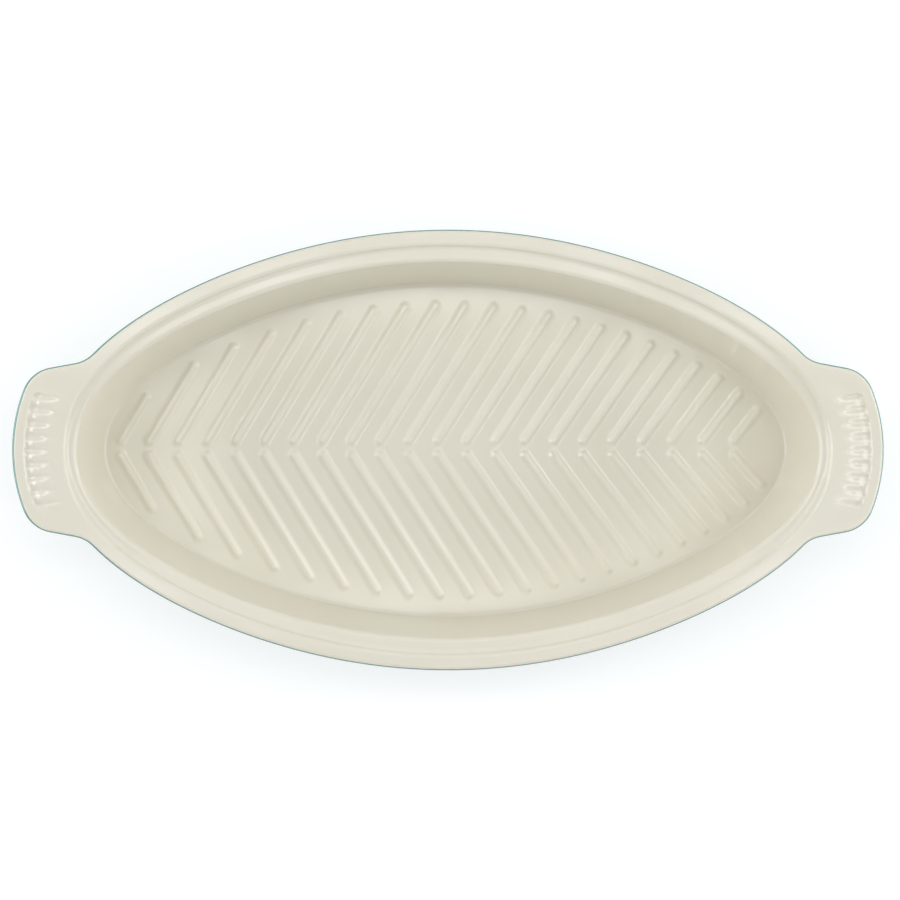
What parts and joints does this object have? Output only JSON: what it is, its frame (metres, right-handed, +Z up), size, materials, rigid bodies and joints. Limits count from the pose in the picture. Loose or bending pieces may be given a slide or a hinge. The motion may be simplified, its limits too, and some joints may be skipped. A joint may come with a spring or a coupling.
{
  "type": "oval fish dish",
  "caption": "Oval glazed stoneware dish for baking and serving a whole fish, with a herringbone ribbed floor, stepped rim and fluted lug handles.",
  "frame": {"origin": "middle of the plane that the foot ring rests on", "axes": "+X along the dish towards the end that the ribs' points turn away from, +Z up out of the well"},
  "size_m": [0.3978, 0.2012, 0.05],
  "materials": {
    "fired_clay": "bare fired stoneware, dry and fine-grained",
    "cream_glaze": "glossy cream glaze, slightly uneven",
    "teal_glaze": "glossy teal glaze, lighter where it thins over edges"
  },
  "bodies": {
    "root": {"stoneware_body": "fired_clay", "left_handle": "fired_clay", "right_handle": "fired_clay", "inner_glaze": "cream_glaze", "outer_glaze": "teal_glaze", "base_glaze": "teal_glaze"}
  },
  "joints": []
}
